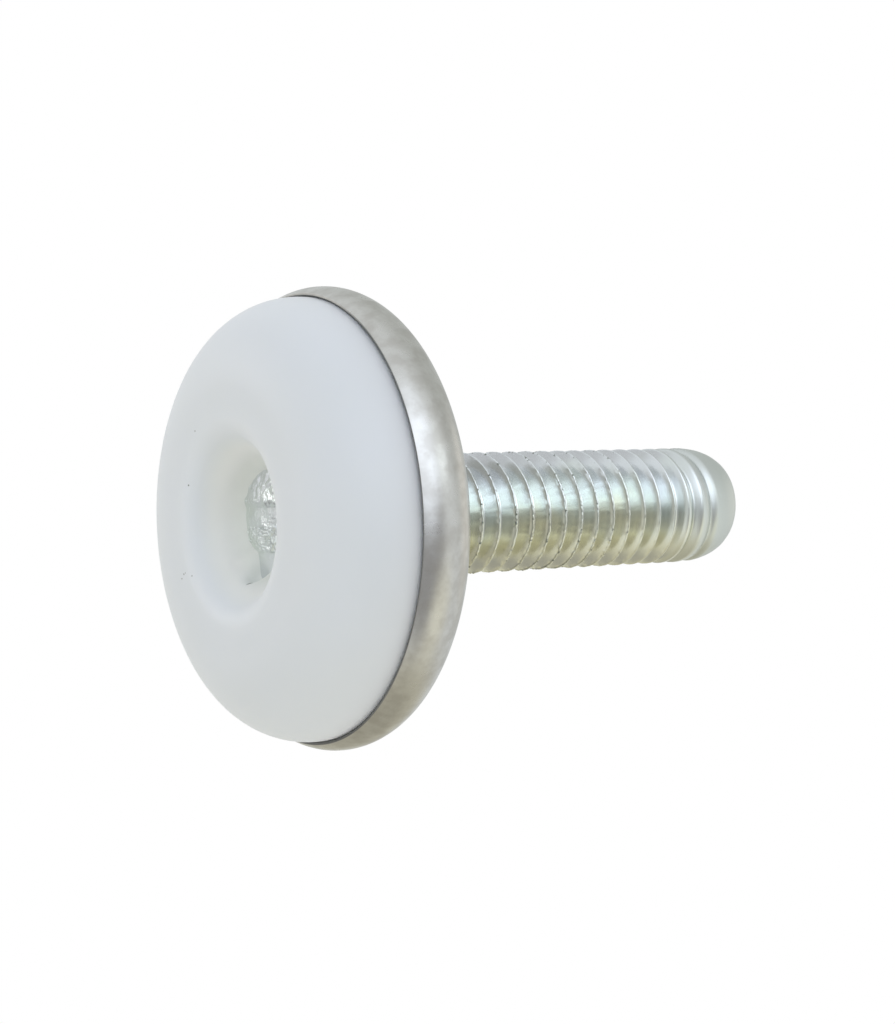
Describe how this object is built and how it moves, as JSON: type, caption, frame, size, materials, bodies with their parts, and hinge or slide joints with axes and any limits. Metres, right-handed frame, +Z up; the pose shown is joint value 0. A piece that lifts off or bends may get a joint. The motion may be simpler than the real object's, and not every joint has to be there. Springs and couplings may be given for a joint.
{
  "type": "leveling foot",
  "caption": "Round furniture leveling foot: moulded plastic pad crimped into a pressed metal cup that holds a threaded stud.",
  "frame": {"origin": "centre of the pad's floor face", "axes": "+Z up along the stud, from the pad to the stud's point; the foot is round about Z"},
  "size_m": [0.0346, 0.0346, 0.0461],
  "materials": {
    "pad_plastic": "milky natural polyethylene, moulded, slightly waxy",
    "cup_nickel": "satin nickel plate on pressed steel sheet",
    "stud_zinc": "bright clear zinc plate on rolled steel thread"
  },
  "bodies": {
    "root": {"pad": "pad_plastic", "cup": "cup_nickel", "stud": "stud_zinc"}
  },
  "joints": []
}
